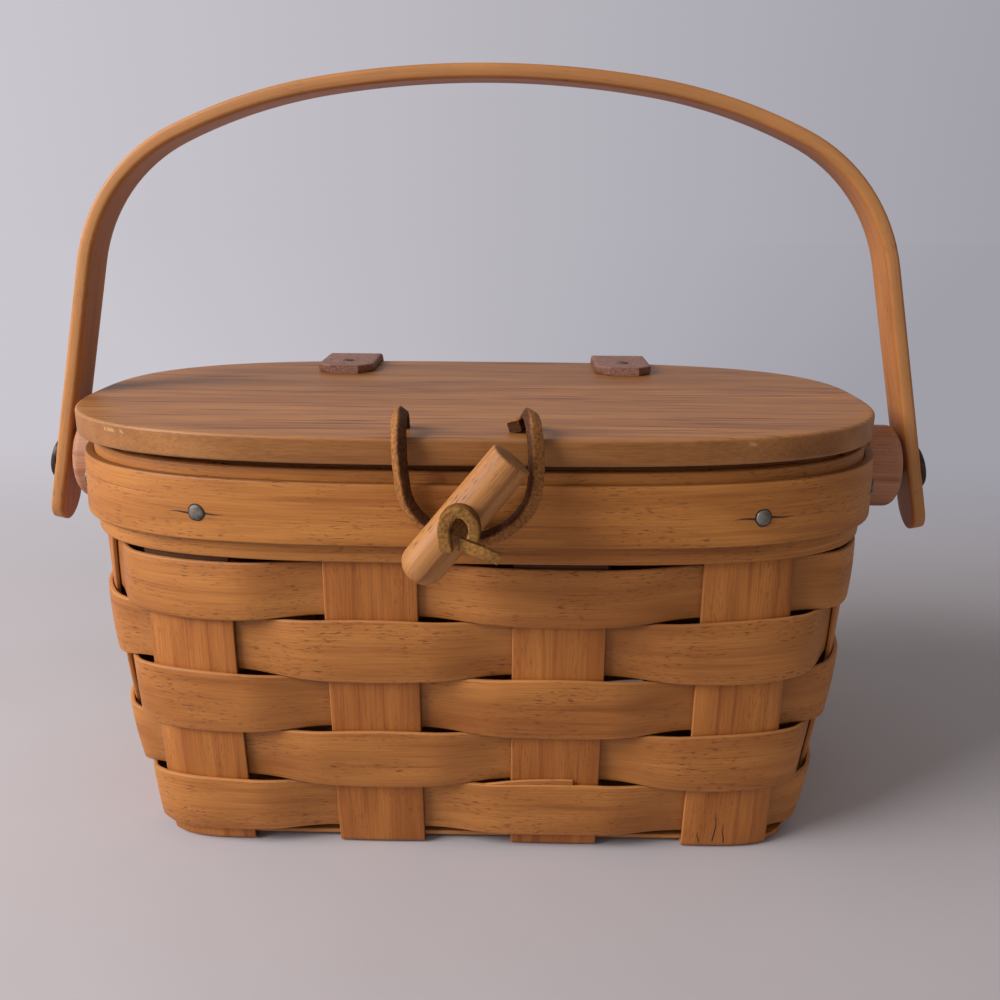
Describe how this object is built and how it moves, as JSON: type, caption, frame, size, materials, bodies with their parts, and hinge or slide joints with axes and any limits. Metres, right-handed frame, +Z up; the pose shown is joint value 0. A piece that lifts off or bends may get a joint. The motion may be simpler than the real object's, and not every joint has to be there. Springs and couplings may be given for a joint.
{
  "type": "lidded splint basket",
  "caption": "Oval woven splint basket with a swing handle, a wooden lid on leather strap hinges and a peg-and-loop closure.",
  "frame": {"origin": "middle of the base, on the floor under the cross stakes", "axes": "+Z up, -Y to the front with the peg and loop, +X to the right along the longest side"},
  "size_m": [0.2398, 0.1287, 0.1915],
  "materials": {
    "stake_wood": "aged shellac over ash splint",
    "weaver_wood": "aged shellac over ash splint",
    "rim_wood": "aged shellac, worn edges",
    "trim_wood": "aged shellac, worn edges",
    "lid_wood": "satin varnish, open grain",
    "handle_wood": "satin varnish, long grain",
    "spacer_wood": "dark end grain",
    "peg_wood": "light waxed wood",
    "strap_leather": "worn brown leather",
    "lace_leather": "rough suede and smooth face",
    "thong_leather": "rough suede and smooth face",
    "nail_iron": "dark iron",
    "rivet_iron": "dark domed iron"
  },
  "bodies": {
    "basket": {"cross_stake_1": "stake_wood", "cross_stake_2": "stake_wood", "cross_stake_3": "stake_wood", "cross_stake_4": "stake_wood", "long_stake_1": "stake_wood", "long_stake_2": "stake_wood", "base_splint_front": "stake_wood", "base_splint_middle": "stake_wood", "base_splint_back": "stake_wood", "weaver_1": "weaver_wood", "weaver_2": "weaver_wood", "weaver_3": "weaver_wood", "weaver_4": "weaver_wood", "weaver_5": "weaver_wood", "inner_band": "rim_wood", "outer_band": "rim_wood", "trim_strip": "trim_wood", "band_nails": "nail_iron", "rim_tacks": "nail_iron", "hinge_strap_left": "strap_leather", "hinge_strap_right": "strap_leather"},
    "lid": {"lid_board": "lid_wood", "lid_tacks": "nail_iron", "lace_knots": "lace_leather", "lid_lace_ends": "lace_leather"},
    "loop": {"lid_lace_loop": "lace_leather"},
    "pivots": {"pivot_rivet_left": "rivet_iron", "pivot_rivet_right": "rivet_iron", "handle_spacer_left": "spacer_wood", "handle_spacer_right": "spacer_wood"},
    "handle": {"handle_bow": "handle_wood", "rivet_cap_left": "rivet_iron", "rivet_cap_right": "rivet_iron"},
    "toggle": {"toggle_peg": "peg_wood", "toggle_thong": "thong_leather"}
  },
  "joints": [
    {"name": "lid_hinge", "type": "hinge", "parent": "basket", "child": "lid", "pos_m": [0, 0.0547, 0.1042], "axis": [-1, 0, 0], "range_deg": [0, 95], "deforming": ["hinge_strap_left", "hinge_strap_right", "lid_lace_loop", "lid_lace_ends"]},
    {"name": "loop_swing", "type": "hinge", "parent": "lid", "child": "loop", "pos_m": [0, -0.0571, 0.1042], "axis": [-1, 0, 0], "range_deg": [-76, 0]},
    {"name": "rivet_turn", "type": "hinge", "parent": "basket", "child": "pivots", "pos_m": [0, 0, 0.09155], "axis": [-1, 0, 0], "range_deg": [-142.5, 0]},
    {"name": "handle_swing", "type": "hinge", "parent": "pivots", "child": "handle", "pos_m": [0, 0, 0.09155], "axis": [-1, 0, 0], "range_deg": [0, 142]},
    {"name": "toggle_turn", "type": "hinge", "parent": "basket", "child": "toggle", "pos_m": [-0.0023, -0.064, 0.0944], "axis": [0, 1, 0], "range_deg": [-60, 60]}
  ],
  "couplings": [
    {"joint": "rivet_turn", "follows": "lid_hinge", "ratio": -1.5},
    {"joint": "loop_swing", "follows": "lid_hinge", "ratio": -0.8}
  ]
}
